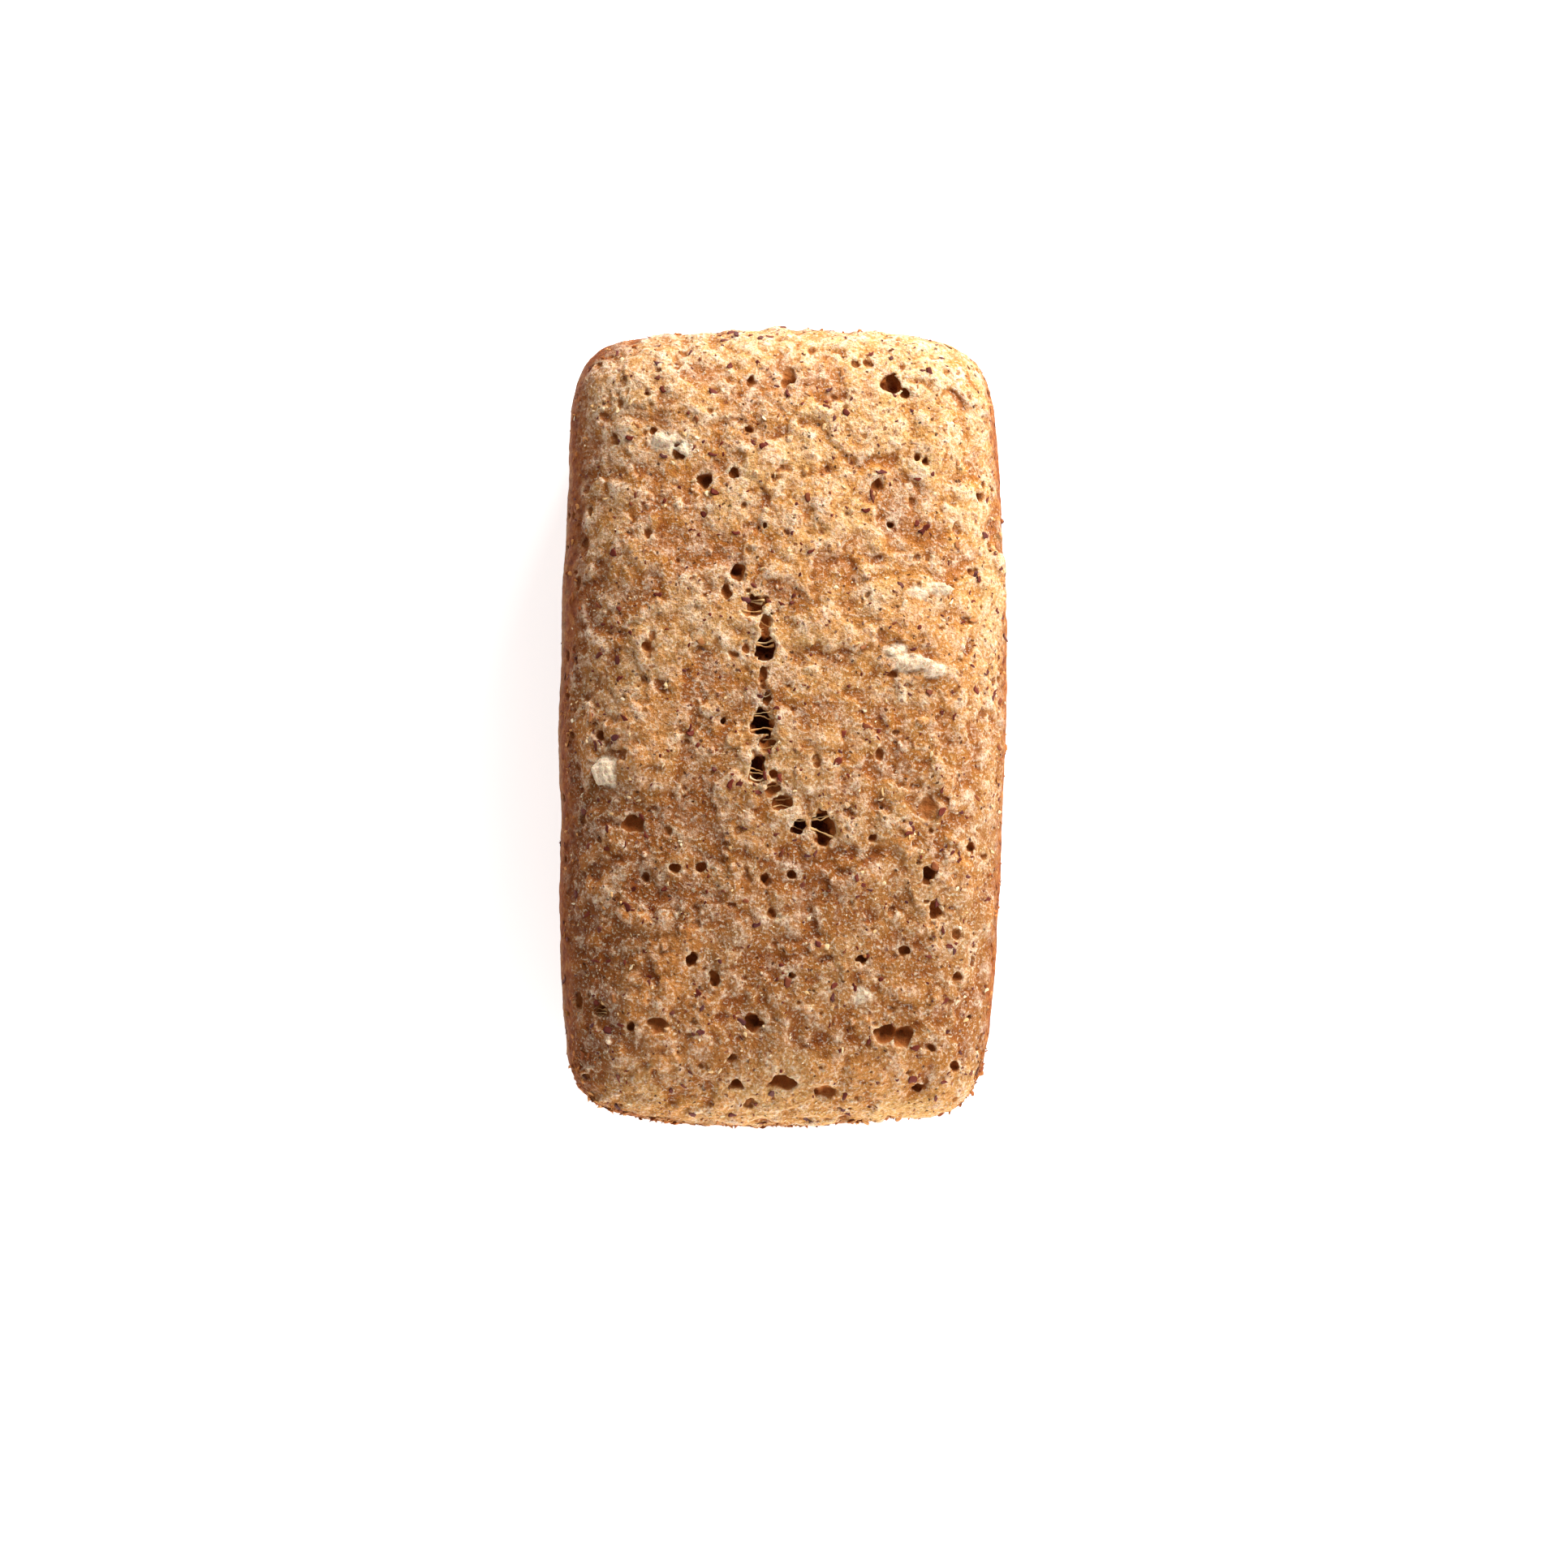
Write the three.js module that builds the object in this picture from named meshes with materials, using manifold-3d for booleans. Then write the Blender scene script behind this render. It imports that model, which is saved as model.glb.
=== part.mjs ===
// A wholegrain tin loaf, baked as one piece: a flat base, walls that taper with the tin, rounded shoulders,
// a low crown, the tear that opened along the middle of the crown and the largest gas holes around it.
// Millimetres, +Z up, the loaf's length along Y. The origin is the middle of the base.

import * as THREE from "three";
import { mergeVertices } from "three/addons/utils/BufferGeometryUtils.js";
import Module from "manifold-3d";

// Overall size.
const LENGTH = 224; // between the two ends, at the middle of each
const WIDTH = 125; // between the two sides, halfway along them
const HEIGHT = 84; // from the base to the top of the crown

// Walls, as the tin shaped them.
const RIM_HEIGHT = 57; // where the wall leaves the tin and the shoulder begins
const WALL_DRAFT = 4; // degrees each wall leans in towards the base
const BASE_EDGE_RADIUS = 7; // round edge between wall and base
const CORNER_POWER = 10; // superellipse power of the plan: higher makes squarer corners
const SKEW = 1; // how far one end sits to the east of the middle, and the other to the west
const SIDE_BOW = 3; // how far the middle of a side stands out beyond its ends
const END_BOW = 5; // the same at the loaf's two ends

// Top, as the dough rose.
const SHOULDER_WIDTH = 24; // how far in from the wall the shoulder rounds over
const CROWN_RISE = 9; // how far the middle of the top domes above the shoulders

// The tear is a row of gas cells, most of which burst into their neighbours. Each cell has its place, as
// shares of the half width and half length from the middle, and its width, length and depth.
const TEAR_CELLS = [
  { across: -0.13, along: 0.3, width: 5.5, length: 5.5, depth: 3.5 },
  { across: -0.08, along: 0.25, width: 3.5, length: 6, depth: 2.5 },
  { across: -0.08, along: 0.195, width: 5.5, length: 7, depth: 7 },
  { across: -0.09, along: 0.125, width: 3, length: 5, depth: 1.8 },
  { across: -0.07, along: 0.07, width: 3.6, length: 4.4, depth: 1.6 },
  { across: -0.09, along: 0.015, width: 6.4, length: 9.5, depth: 11 },
  { across: -0.07, along: -0.04, width: 4.5, length: 5, depth: 2 },
  { across: -0.11, along: -0.1, width: 4.6, length: 10, depth: 8 },
  { across: -0.05, along: -0.15, width: 4.5, length: 5, depth: 2 },
  { across: 0, along: -0.185, width: 5.5, length: 5, depth: 2.6 },
  { across: 0.07, along: -0.24, width: 4.5, length: 6, depth: 6 },
];

// The largest single gas holes, given in the same way.
const GAS_HOLES = [
  { across: 0.17, along: -0.245, width: 6.5, length: 9, depth: 8 },
  { across: 0.48, along: 0.855, width: 5.5, length: 5.5, depth: 5 },
  { across: -0.2, along: 0.385, width: 4, length: 5, depth: 4 },
  { across: -0.34, along: 0.61, width: 4.5, length: 4.5, depth: 4 },
  { across: -0.13, along: -0.73, width: 5, length: 5, depth: 5 },
  { across: 0.46, along: -0.755, width: 6, length: 6.5, depth: 4 },
  { across: 0.54, along: -0.765, width: 5.5, length: 7, depth: 4 },
  { across: 0.68, along: -0.45, width: 5.5, length: 6, depth: 3 },
  { across: -0.66, along: -0.24, width: 6, length: 5, depth: 3 },
];

const CELL_SINK = 0.2; // share of its depth by which a cell's widest part lies below the crust

// How finely the surfaces are divided.
const PLAN_STEPS = 168;
const EDGE_STEPS = 3;
const WALL_STEPS = 2;
const SHOULDER_STEPS = 7;
const CROWN_STEPS = 4;
const CELL_STEPS_AROUND = 10;
const CELL_STEPS_DOWN = 7;

const HALF_WIDTH = WIDTH / 2;
const HALF_LENGTH = LENGTH / 2;
const CORE_HALF_WIDTH = HALF_WIDTH - SHOULDER_WIDTH; // of the top inside the shoulders
const SHOULDER_RISE = HEIGHT - RIM_HEIGHT - CROWN_RISE;

// How far the wall is set in from the rim at a height.
function wallInset(height) {
  return (RIM_HEIGHT - height) * Math.tan(THREE.MathUtils.degToRad(WALL_DRAFT));
}

// The section of one half of the loaf through the middle of its sides, from the middle of the base up to
// the middle of the top. The top is flat inside the shoulder here: its dome is added later.
function halfSection() {
  const section = [new THREE.Vector2(0, 0)];
  const edgeInset = wallInset(BASE_EDGE_RADIUS);
  for (let step = 0; step < EDGE_STEPS; step++) {
    const turn = (Math.PI / 2) * (1 - step / EDGE_STEPS);
    const inset = edgeInset + BASE_EDGE_RADIUS * (1 - Math.cos(turn));
    section.push(new THREE.Vector2(HALF_WIDTH - inset, BASE_EDGE_RADIUS * (1 - Math.sin(turn))));
  }
  for (let step = 0; step <= WALL_STEPS; step++) {
    const height = THREE.MathUtils.lerp(BASE_EDGE_RADIUS, RIM_HEIGHT, step / WALL_STEPS);
    section.push(new THREE.Vector2(HALF_WIDTH - wallInset(height), height));
  }
  for (let step = 1; step <= SHOULDER_STEPS; step++) {
    const turn = (Math.PI / 2) * (step / SHOULDER_STEPS);
    const fromMiddle = CORE_HALF_WIDTH + SHOULDER_WIDTH * Math.cos(turn);
    section.push(new THREE.Vector2(fromMiddle, RIM_HEIGHT + SHOULDER_RISE * Math.sin(turn)));
  }
  for (let step = 1; step <= CROWN_STEPS; step++) {
    const fromMiddle = CORE_HALF_WIDTH * (1 - step / CROWN_STEPS);
    section.push(new THREE.Vector2(fromMiddle, RIM_HEIGHT + SHOULDER_RISE));
  }
  return section;
}

// Distance from the middle to the tin's outline in a direction, with the outline set in all round.
function planReach(angle, inset) {
  const across = Math.abs(Math.cos(angle)) / (HALF_WIDTH - inset);
  const along = Math.abs(Math.sin(angle)) / (HALF_LENGTH - inset);
  return (across ** CORNER_POWER + along ** CORNER_POWER) ** (-1 / CORNER_POWER);
}

// How far the dome lifts a point of the top. It falls to nothing at the sides and at the ends.
function domeLift(x, y) {
  return CROWN_RISE * (1 - (x / HALF_WIDTH) ** 2) * (1 - (y / HALF_LENGTH) ** 2);
}

// How much of its distance from the middle a point keeps, so that a face bows out by that much.
function bowed(bow, halfSize, placeAlongFace) {
  return 1 - (bow / halfSize) * placeAlongFace ** 2;
}

// Where a point of the round, turned section lies on the loaf. Base edge, wall and shoulder keep their
// distance from the outline all round it, and what lies inside the shoulder stretches to fill the rest.
function onLoaf(point) {
  const distance = Math.hypot(point.x, point.y);
  const angle = Math.atan2(point.y, point.x);
  const inset = Math.min(HALF_WIDTH - distance, SHOULDER_WIDTH);
  const fill = Math.min(distance / CORE_HALF_WIDTH, 1);
  const reach = planReach(angle, inset) * fill;
  const acrossTin = reach * Math.cos(angle);
  const alongTin = reach * Math.sin(angle);
  const x = acrossTin * bowed(SIDE_BOW, HALF_WIDTH, alongTin / HALF_LENGTH);
  const y = alongTin * bowed(END_BOW, HALF_LENGTH, acrossTin / HALF_WIDTH);
  const lift = point.z > RIM_HEIGHT ? domeLift(x, y) : 0;
  return new THREE.Vector3(x + (SKEW * y) / HALF_LENGTH, y, point.z + lift);
}

// The loaf's outside as it would be with no holes: the section turned round, then fitted to the tin.
function smoothLoaf() {
  const geometry = new THREE.LatheGeometry(halfSection(), PLAN_STEPS);
  geometry.rotateX(Math.PI / 2);
  const places = geometry.attributes.position;
  const point = new THREE.Vector3();
  for (let index = 0; index < places.count; index++) {
    point.fromBufferAttribute(places, index);
    places.setXYZ(index, ...onLoaf(point).toArray());
  }
  return geometry;
}

// Height of the crust above the base at a place on the top.
function crustHeight(loaf, x, y) {
  const above = new THREE.Vector3(x, y, 2 * HEIGHT);
  const down = new THREE.Vector3(0, 0, -1);
  return new THREE.Raycaster(above, down).intersectObject(loaf)[0].point.z;
}

// One gas cell, a round hollow whose mouth is a little narrower than its inside.
function gasCell(loaf, cell) {
  const x = cell.across * HALF_WIDTH;
  const y = cell.along * HALF_LENGTH;
  const sink = cell.depth * CELL_SINK;
  const geometry = new THREE.SphereGeometry(1, CELL_STEPS_AROUND, CELL_STEPS_DOWN);
  geometry.rotateX(Math.PI / 2);
  geometry.scale(cell.width / 2, cell.length / 2, cell.depth - sink);
  geometry.translate(x, y, crustHeight(loaf, x, y) - sink);
  return geometry;
}

const wasm = await Module();
wasm.setup();

// A closed geometry as a solid that can be cut.
function toSolid(geometry) {
  const bare = geometry.clone();
  bare.deleteAttribute("normal");
  bare.deleteAttribute("uv");
  const merged = mergeVertices(bare);
  const vertProperties = new Float32Array(merged.attributes.position.array);
  const triVerts = new Uint32Array(merged.index.array);
  return new wasm.Manifold(new wasm.Mesh({ numProp: 3, vertProperties, triVerts }));
}

// A cut solid as a geometry again.
function toGeometry(solid) {
  const mesh = solid.getMesh();
  const geometry = new THREE.BufferGeometry();
  geometry.setAttribute("position", new THREE.BufferAttribute(mesh.vertProperties, mesh.numProp));
  geometry.setIndex(new THREE.BufferAttribute(mesh.triVerts, 1));
  geometry.computeVertexNormals();
  return geometry;
}

const crust = new THREE.MeshStandardMaterial({ color: "#c8996b", roughness: 0.9, metalness: 0 });

// The whole loaf: the smooth outside with the tear and the gas holes cut into its top.
function makeLoaf() {
  const whole = new THREE.Mesh(smoothLoaf(), crust);
  const cells = [...TEAR_CELLS, ...GAS_HOLES].map((cell) => toSolid(gasCell(whole, cell)));
  const torn = cells.reduce((solid, cell) => solid.subtract(cell), toSolid(whole.geometry));
  const loaf = new THREE.Mesh(toGeometry(torn), crust);
  loaf.name = "loaf";
  return loaf;
}

const group = new THREE.Group();
group.add(makeLoaf());

export default group;
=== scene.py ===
"""A wholegrain tin loaf: matt, toasted top crust with gas holes and a tear, smoother brown walls.

The crust is grown from the CAD loaf: its hull becomes a field of distances, which is pushed in and out for
relief, opened by gas cells, and meshed again. Flakes of bran, husk and rim crust lie half baked into it, and
strands of gluten cross the tear.
"""
import math

import bmesh
import bpy
import numpy as np
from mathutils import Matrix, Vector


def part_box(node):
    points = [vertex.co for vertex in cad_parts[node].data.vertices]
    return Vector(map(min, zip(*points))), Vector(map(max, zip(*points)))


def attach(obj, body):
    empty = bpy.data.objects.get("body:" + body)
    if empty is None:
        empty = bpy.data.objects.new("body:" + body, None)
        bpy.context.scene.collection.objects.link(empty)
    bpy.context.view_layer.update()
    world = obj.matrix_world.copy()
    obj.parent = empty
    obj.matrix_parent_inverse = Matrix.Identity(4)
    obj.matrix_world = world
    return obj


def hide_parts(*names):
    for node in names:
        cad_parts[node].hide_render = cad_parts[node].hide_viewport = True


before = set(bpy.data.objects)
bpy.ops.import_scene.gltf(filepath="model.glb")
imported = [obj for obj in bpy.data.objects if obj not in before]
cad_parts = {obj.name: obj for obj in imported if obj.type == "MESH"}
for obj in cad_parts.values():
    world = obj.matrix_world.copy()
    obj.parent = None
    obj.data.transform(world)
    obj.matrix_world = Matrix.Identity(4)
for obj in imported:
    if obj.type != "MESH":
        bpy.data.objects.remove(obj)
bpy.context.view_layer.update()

import openvdb
from mathutils import Vector

MM = 0.001  # one millimetre, in metres. Shapes below are worked out in millimetres.

# ---- Sizes of the field of distances -----------------------------------------------------------------

VOXEL = 0.5
COARSE_VOXEL = 1.5
MARGIN = 6.0
BAND_INSIDE = 22.0
BAND_OUTSIDE = 12.0
HULL_EVENING = 2.0  # over which the hull's facets are rounded off
MESH_BAND = 3.0

LOW, HIGH = (np.array(corner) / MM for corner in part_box("loaf"))
HALF_WIDTH = (HIGH[0] - LOW[0]) / 2
HALF_LENGTH = (HIGH[1] - LOW[1]) / 2
HEIGHT = HIGH[2] - LOW[2]
FIELD_START = (LOW - MARGIN).astype(np.float32)
NOWHERE_NEAR = 9.0  # the distance given where there is nothing to measure to

# ---- The crust's features ------------------------------------------------------------------------------

# The tear is a row of gas cells that burst into each other. Places are shares of the half width and half
# length from the middle of the loaf. Widths, lengths and depths are millimetres.
TEAR_CELLS = [
    (-0.13, 0.3, 5.5, 5.5, 3.5),
    (-0.08, 0.25, 3.5, 6, 2.5),
    (-0.08, 0.195, 5.5, 7, 7),
    (-0.09, 0.125, 3, 5, 1.8),
    (-0.07, 0.07, 3.6, 4.4, 1.6),
    (-0.09, 0.015, 6.4, 9.5, 11),
    (-0.07, -0.04, 4.5, 5, 2),
    (-0.11, -0.1, 4.6, 10, 8),
    (-0.05, -0.15, 4.5, 5, 2),
    (0.0, -0.185, 5.5, 5, 2.6),
    (0.07, -0.24, 4.5, 6, 6),
]

# Single gas holes, given in the same way.
GAS_HOLES = [
    (0.17, -0.245, 6.5, 9, 8),
    (0.48, 0.855, 5.5, 5.5, 5),
    (-0.2, 0.385, 4, 5, 4),
    (-0.34, 0.61, 4.5, 4.5, 4),
    (-0.13, -0.73, 5, 5, 5),
    (0.46, -0.755, 6, 6.5, 4),
    (0.54, -0.765, 5.5, 7, 4),
    (0.68, -0.45, 5.5, 6, 3),
    (-0.66, -0.24, 6, 5, 3),
    (-0.21, 0.63, 3.2, 3.5, 3),
    (0.6, 0.67, 2, 2.6, 3),
    (0.63, 0.66, 2, 2.4, 2.5),
    (0.42, 0.6, 3.5, 3.5, 2.5),
    (0.48, 0.5, 2.4, 2.6, 2.5),
    (0.38, 0.91, 2.6, 3, 2.5),
    (0.13, 0.94, 2.4, 3, 2.5),
    (-0.14, 0.86, 2.2, 2.6, 2.5),
    (0.03, 0.87, 4.5, 6.5, 2),
    (-0.6, 0.83, 2, 2.2, 2.5),
    (-0.45, 0.68, 4.5, 5, 2.5),
    (-0.6, 0.2, 2.4, 2.4, 3),
    (-0.8, -0.02, 2.4, 3, 2.5),
    (-0.48, -0.345, 3.2, 3, 3),
    (-0.36, -0.345, 3.4, 3, 3),
    (-0.6, -0.365, 2.6, 3, 2.5),
    (-0.08, -0.375, 3.2, 3.2, 3),
    (0.04, -0.36, 2.8, 2.6, 2.5),
    (0.65, -0.36, 3.8, 3.6, 4),
    (0.65, -0.2, 6, 7, 2.2),
    (0.84, -0.295, 3, 3.4, 3),
    (0.4, -0.27, 2.6, 2.6, 2.5),
    (0.54, -0.55, 3.6, 2.8, 3),
    (0.35, -0.57, 2.8, 2.8, 3),
    (0.04, -0.61, 2.6, 2.6, 2.5),
    (0.78, -0.62, 2.8, 3, 2.5),
    (-0.4, -0.57, 3.6, 4, 4),
    (-0.3, -0.62, 3.2, 4.2, 4),
    (-0.55, -0.735, 5, 4, 2.2),
    (-0.8, -0.7, 4, 4, 3.5),
    (-0.67, -0.74, 2.6, 3, 3),
    (0.2, -0.9, 6.5, 5.5, 2.6),
    (0.0, -0.875, 8, 6, 2.2),
    (0.66, -0.79, 2.8, 2.6, 3),
    (0.77, -0.84, 3.2, 3, 3),
    (0.61, -0.895, 3.4, 2.6, 3),
    (-0.2, -0.88, 2.8, 2.4, 2.5),
    (-0.9, -0.68, 2.6, 5, 2.5),
]

# The gas holes that strands of gluten still cross.
TORN_HOLES = [(-0.81, -0.7, 4, 4, 3.5), (-0.79, -0.73, 4, 3, 3), (0.17, -0.245, 6.5, 9, 8)]

# Pale flakes of oat and clots of flour that lie on the crust, given in the same way.
FLOUR_LUMPS = [
    (-0.76, -0.105, 8, 7, 1.6),
    (0.5, 0.19, 5, 3, 1.1),
    (0.58, 0.16, 10, 4, 1.6),
    (0.67, 0.14, 7, 3.6, 1.5),
    (0.6, 0.335, 4.5, 2.5, 1),
    (0.7, 0.345, 6, 3, 1),
    (-0.52, 0.71, 6, 3.5, 1),
    (-0.44, 0.69, 3.5, 3.5, 1),
    (0.35, -0.66, 4, 3.2, 0.8),
]

# Places that rose more than the rest, or less: X, Y and Z, how far the bulge reaches, and its height.
SWELLINGS = [
    (-52, 103, 52, 15, 2.2),
    (53, 100, 55, 13, 0.7),
    (-54, -96, 50, 10, 1.2),
    (46, -108, 55, 14, 0.1),
    (62, 20, 58, 45, 1.3),
    (7.5, -8.5, 84, 8, 1.0),
    (-15, 28, 84, 8, 0.7),
    (-20, -48, 82, 12, 0.9),
    (-28, -30, 82, 7, -0.8),
    (28, -60, 80, 12, -0.7),
]

CELL_SINK = 0.2  # share of its depth by which a cell's widest part lies below the crust
TEAR_RAGGEDNESS = 0.42  # how far a cell's wall is pushed about, as a share of its radius
HOLE_RAGGEDNESS = 0.38
RIM_ROUNDING = 0.8  # of the edge where a cell meets the crust
RIM_FRAYING = 0.16  # how far that edge is pushed about
PINCH_SCALE = 0.9  # size of the crevices and tips that the crust's colour follows
DIP_SCALE = 2.6  # and of its wider dips and humps
TEAR_LIP = 0.5  # how far the crust stands up beside the tear
TEAR_LIP_WIDTH = 2.6
CELL_LIP = 0.12  # and how far beside each hole that is near it
CELL_LIP_WIDTH = 0.9
LIP_REACH = 8

SMALL_HOLE_RAGGEDNESS = 0.42
DEEP_SHARE = 0.25  # of the small holes: the others are dimples
LUMP_RAGGEDNESS = 0.5
CRUMB_RAGGEDNESS = 0.3
CRUMB_COUNT = 260

TIN_LINE = 56.5  # height up to which the tin browned the crust, at the loaf's ends
WEST_TIN_RISE = 9.5  # how much higher it is on the west wall
EAST_TIN_RISE = 5.0  # and on the east
TIN_LINE_WAVER = 1.3
MAP_GAP = 8  # between the six sides in the UV map

FLAKE_SIDES = 9
FLAKE_RINGS = (0.55, 1.0)
STRANDS_PER_CELL = 3
STRAND_STEPS = 8
STRAND_SIDES = 5


# ---- Fields of distances -------------------------------------------------------------------------------


def field_axes(step):
    """The places of a field's points along X, Y and Z."""
    ends = zip(LOW - MARGIN, HIGH + MARGIN)
    return [np.arange(low, high + step, step, dtype=np.float32) for low, high in ends]


def spline_weights(places, start, step, count):
    """Rows of weights that read a smooth curve at places, from knots that stand step apart."""
    at = (places - start) / step
    knot = np.floor(at).astype(int)
    f = at - knot
    shares = [(1 - f) ** 3, 3 * f**3 - 6 * f**2 + 4, -3 * f**3 + 3 * f**2 + 3 * f + 1, f**3]
    weights = np.zeros((len(places), count), np.float32)
    rows = np.arange(len(places))
    for offset, share in zip((-1, 0, 1, 2), shares):
        np.add.at(weights, (rows, np.clip(knot + offset, 0, count - 1)), share / 6)
    return weights


def spread(knots, axes, starts, step):
    """Reads a coarse field smoothly at the points of a finer one."""
    for axis in range(3):
        weights = spline_weights(axes[axis], starts[axis], step, knots.shape[axis])
        knots = np.moveaxis(np.tensordot(weights, knots, (1, axis)), 0, axis)
    return np.ascontiguousarray(knots, dtype=np.float32)


def rough_field(axes, size, seed):
    """A smooth random field whose lumps are about size across. Its values have a spread of one."""
    starts = [axis[0] - 2 * size for axis in axes]
    counts = [int((axis[-1] - axis[0]) / size) + 6 for axis in axes]
    knots = np.random.default_rng(seed).standard_normal(counts).astype(np.float32)
    return spread(knots, axes, starts, size) * 3


def read(field, points):
    """Values of a field at points, in a straight line between its own points."""
    at = (points - FIELD_START) / VOXEL
    at = np.clip(at, 0, np.array(field.shape) - 1.001)
    low = np.floor(at).astype(int)
    x, y, z = low.T
    fx, fy, fz = (at - low).T
    total = 0
    for dx, wx in ((0, 1 - fx), (1, fx)):
        for dy, wy in ((0, 1 - fy), (1, fy)):
            for dz, wz in ((0, 1 - fz), (1, fz)):
                total = total + field[x + dx, y + dy, z + dz] * (wx * wy * wz)
    return total.astype(np.float32)


def smoothstep(low, high, value):
    """Rises smoothly from 0 to 1 as value goes from low to high."""
    t = np.clip((value - low) / (high - low), 0, 1)
    return t * t * (3 - 2 * t)


def soft_maximum(first, second, rounding):
    """The larger of two fields, with the edge where they meet rounded off."""
    share = np.clip(0.5 + 0.5 * (first - second) / rounding, 0, 1)
    return second + (first - second) * share + rounding * share * (1 - share)


def hull_of_cad_loaf():
    """Corners and triangles of the CAD loaf's hull, which has no holes, in millimetres."""
    bm = bmesh.new()
    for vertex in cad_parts["loaf"].data.vertices:
        bm.verts.new(vertex.co / MM)
    bmesh.ops.remove_doubles(bm, verts=bm.verts[:], dist=0.01)
    bmesh.ops.convex_hull(bm, input=bm.verts[:])
    loose = [vertex for vertex in bm.verts if not vertex.link_faces]
    bmesh.ops.delete(bm, geom=loose, context="VERTS")
    bmesh.ops.triangulate(bm, faces=bm.faces[:])
    bm.verts.index_update()
    points = np.array([vertex.co for vertex in bm.verts], np.float32)
    triangles = np.array([[v.index for v in face.verts] for face in bm.faces], np.uint32)
    bm.free()
    return points, triangles


def blurred(field, reach, step):
    """The field evened out over a distance, which softens whatever is smaller than that."""
    spread_of = reach / step
    taps = int(2.2 * spread_of) + 1
    offsets = np.arange(-taps, taps + 1)
    weights = np.exp(-0.5 * (offsets / spread_of) ** 2)
    weights = (weights / weights.sum()).astype(np.float32)
    for axis in range(3):
        padded = np.pad(field, [(taps, taps) if a == axis else (0, 0) for a in range(3)], mode="edge")
        size = field.shape[axis]
        total = np.zeros_like(field)
        for weight, offset in zip(weights, offsets + taps):
            cut = [slice(None)] * 3
            cut[axis] = slice(offset, offset + size)
            total += weight * padded[tuple(cut)]
        field = total
    return field


def smooth_body(axes):
    """Distances from the loaf as it would be with no holes or relief, below zero inside it."""
    points, triangles = hull_of_cad_loaf()
    coarse_axes = field_axes(COARSE_VOXEL)
    start = np.array([axis[0] for axis in coarse_axes], np.float32)
    grid = openvdb.FloatGrid.createLevelSetFromPolygons(
        points - start,
        triangles=triangles,
        transform=openvdb.createLinearTransform(voxelSize=COARSE_VOXEL),
        exBandWidth=BAND_OUTSIDE / COARSE_VOXEL,
        inBandWidth=BAND_INSIDE / COARSE_VOXEL,
    )
    coarse = np.empty([len(axis) for axis in coarse_axes], np.float32)
    grid.copyToArray(coarse)
    return spread(blurred(coarse, HULL_EVENING, COARSE_VOXEL), axes, start, COARSE_VOXEL)


def relief(axes, top):
    """How far the crust stands out, in millimetres: lumpy on top, nearly flat where the tin held it."""
    swell = rough_field(axes, 17, 11)
    puffs = np.abs(rough_field(axes, 8, 12))
    clumps = np.abs(rough_field(axes, 3.6, 13))
    ripple = rough_field(axes, 2, 14)
    plates = smoothstep(-0.35, 0.35, rough_field(axes, 9, 15) + 0.25 * ripple)
    risen = 0.4 * swell + 0.5 * (puffs - 0.8) + 0.34 * (clumps - 0.8) + 0.12 * ripple + 0.75 * (plates - 0.5)
    pressed = 0.3 * swell - 0.12 * puffs - 0.08 * clumps + 0.05 * ripple
    off_base = smoothstep(0, 8, axes[2])[None, None, :]
    return risen * top + (pressed * off_base - 0.15 * puffs * (1 - off_base)) * (1 - top)


def swellings(axes):
    """How far the crust bulges at the places that rose more than the rest, or less."""
    total = np.zeros([len(axis) for axis in axes], np.float32)
    for *centre, reach, rise in SWELLINGS:
        bells = [np.exp(-(((axis - middle) / reach) ** 2)) for axis, middle in zip(axes, centre)]
        total += rise * bells[0][:, None, None] * bells[1][None, :, None] * bells[2][None, None, :]
    return total


def crust_height(skin, axes):
    """Height of the top of the crust over each place, from the highest point inside it."""
    inside = skin < 0
    last = inside.shape[2] - 1 - np.argmax(inside[:, :, ::-1], axis=2)
    rows, columns = np.indices(last.shape)
    under = skin[rows, columns, last]
    over = skin[rows, columns, np.minimum(last + 1, inside.shape[2] - 1)]
    rise = np.where(over > under, -under / np.maximum(over - under, 1e-3), 0)
    return np.where(inside.any(2), axes[2][last] + rise * VOXEL, 0)


def near(axes, centre, reach):
    """The part of a field within reach of a place: its slices and its points."""
    cuts = []
    for axis, middle, far in zip(axes, centre, reach):
        first = max(int((middle - far - axis[0]) / VOXEL), 0)
        cuts.append(slice(first, int((middle + far - axis[0]) / VOXEL) + 2))
    points = np.stack(np.meshgrid(*[a[c] for a, c in zip(axes, cuts)], indexing="ij"), -1)
    return tuple(cuts), points


def lattice_noise(points, size, seed):
    """Smooth random values from -1 to 1 at points, in lumps about size across."""
    random = np.random.default_rng(seed).random((32, 32, 32)).astype(np.float32) * 2 - 1
    at = points / size
    low = np.floor(at).astype(int)
    f = at - low
    f = f * f * (3 - 2 * f)
    total = 0
    for dx in (0, 1):
        for dy in (0, 1):
            for dz in (0, 1):
                weight = np.abs(1 - dx - f[..., 0]) * np.abs(1 - dy - f[..., 1]) * np.abs(1 - dz - f[..., 2])
                total = total + weight * random[
                    (low[..., 0] + dx) % 32, (low[..., 1] + dy) % 32, (low[..., 2] + dz) % 32
                ]
    return total


def ragged_ellipsoid(points, centre, radii, ragged, seed):
    """Distances from an ellipsoid whose surface is pushed about by ragged, below zero inside it."""
    radii = np.array(radii)
    q = points - centre
    coarse, fine = max(radii[0] * 0.9, 1.2), max(radii[0] * 0.4, 0.8)
    for axis in range(3):
        push = lattice_noise(points, coarse, seed + axis) + 0.5 * lattice_noise(points, fine, seed + axis + 3)
        q[..., axis] += push * ragged * radii[axis]
    scaled = np.linalg.norm(q / radii, axis=-1)
    return (scaled - 1) * min(radii)


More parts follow.
